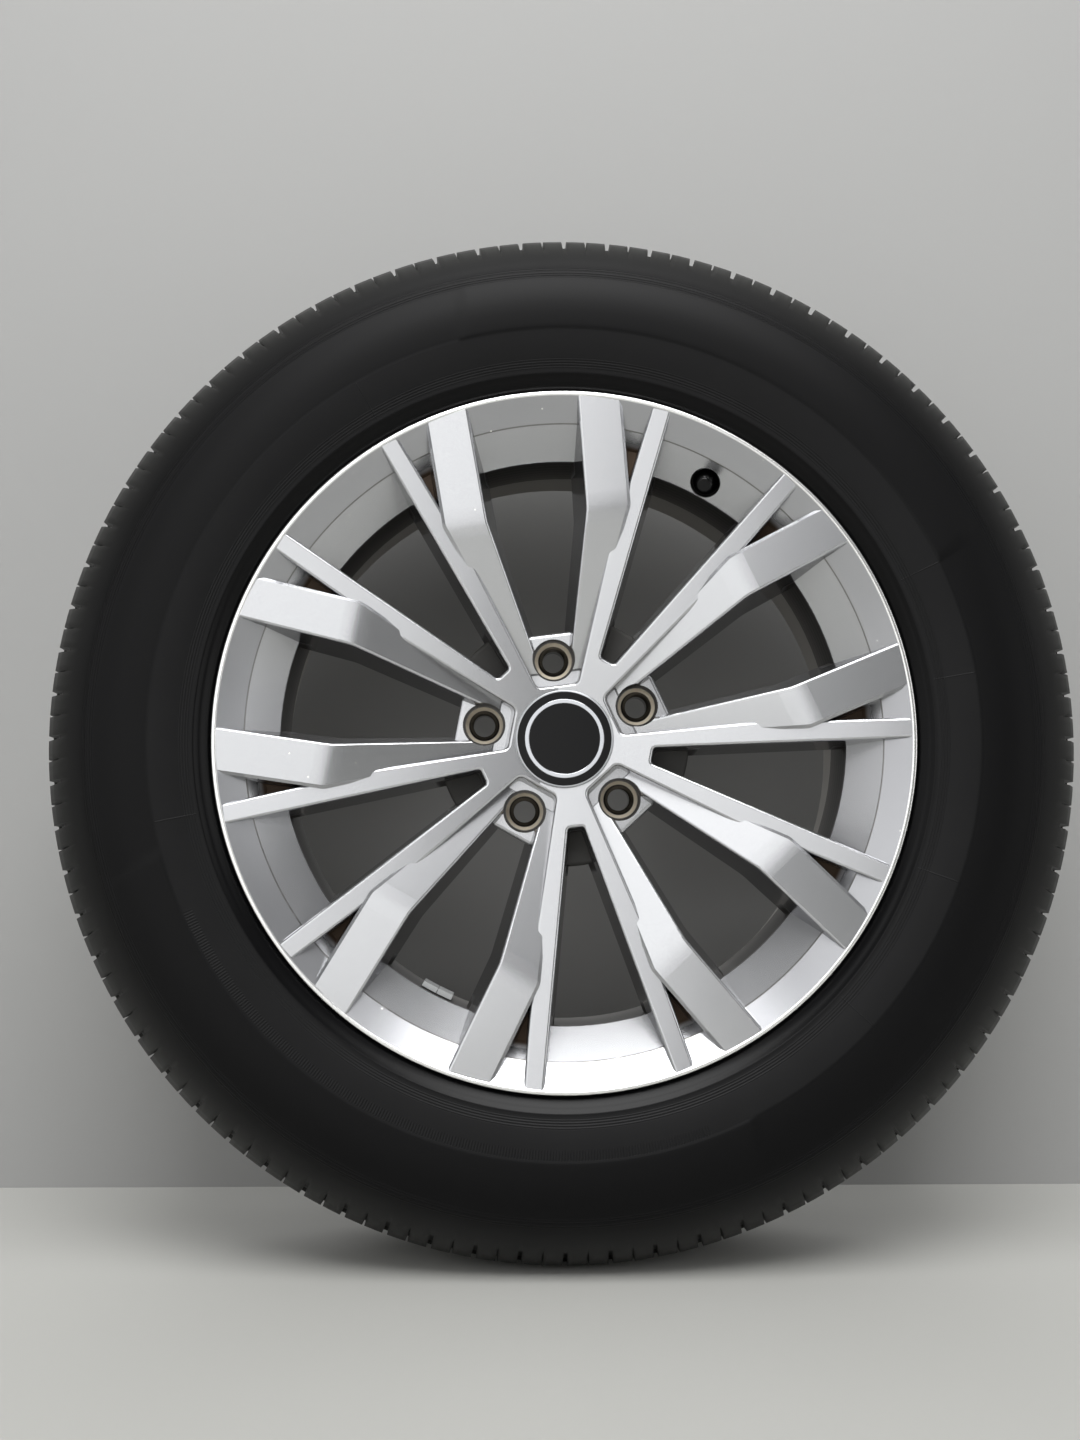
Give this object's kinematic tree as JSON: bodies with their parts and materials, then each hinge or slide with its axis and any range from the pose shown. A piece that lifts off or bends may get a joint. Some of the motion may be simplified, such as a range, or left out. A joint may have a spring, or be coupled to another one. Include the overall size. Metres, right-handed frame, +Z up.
{
  "type": "wheel and tyre assembly",
  "caption": "Cast alloy car wheel with split spokes, fitted with its tyre, centre cap, snap-in valve and stick-on balance weights.",
  "frame": {"origin": "on the wheel's axle line, in the middle plane of the rim and tyre", "axes": "+Y along the axle line towards the car, -Y is the outboard face with the spokes, +Z up, +X to the right as the outboard face is looked at"},
  "size_m": [0.7111, 0.226, 0.7112],
  "materials": {
    "silver_alloy": "cast, with fine silver paint and clear coat",
    "tyre_rubber": "moulded black rubber, a little dusty",
    "cap_silver": "moulded plastic, silver paint",
    "cap_black": "gloss black",
    "cap_chrome": "bright plated ring",
    "spring_steel": "drawn wire",
    "valve_rubber": "smooth moulded rubber",
    "valve_brass": "turned",
    "seal_rubber": "moulded rubber",
    "valve_cap_black": "moulded, smooth",
    "weight_zinc": "zinc coated",
    "tape_foam": "foam tape"
  },
  "bodies": {
    "wheel": {"alloy_wheel": "silver_alloy", "tyre": "tyre_rubber", "centre_cap": "cap_silver", "cap_spring_ring": "spring_steel", "cap_face_disc": "cap_black", "cap_chrome_ring": "cap_chrome", "valve_stem": "valve_rubber", "valve_tube": "valve_brass", "valve_core_plug": "valve_brass", "valve_core_barrel": "valve_brass", "valve_core_gasket": "seal_rubber", "valve_core_spring": "spring_steel", "balance_weight_1": "weight_zinc", "balance_weight_2": "weight_zinc", "weight_tape": "tape_foam"},
    "valve_cap_seal": {"valve_cap_seal": "seal_rubber"},
    "valve_cap": {"valve_cap": "valve_cap_black"},
    "core_pin": {"valve_core_pin": "valve_brass", "valve_core_seal": "seal_rubber"}
  },
  "joints": [
    {"name": "cap_lift", "type": "slide", "parent": "wheel", "child": "valve_cap_seal", "axis": [-0.1648, -0.9397, -0.2997], "range_m": [0, 0.00635]},
    {"name": "cap_turn", "type": "hinge", "parent": "valve_cap_seal", "child": "valve_cap", "pos_m": [0.10012, -0.06504, 0.18211], "axis": [-0.1648, -0.9397, -0.2997], "range_deg": [0, 2880]},
    {"name": "pin_press", "type": "slide", "parent": "wheel", "child": "core_pin", "axis": [0.1648, 0.9397, 0.2997], "range_m": [0, 0.0013], "stiffness_N_per_m": 500, "deforming": ["valve_core_spring"]}
  ],
  "couplings": [
    {"joint": "cap_turn", "follows": "cap_lift", "rad_per_m": 7913.3}
  ]
}
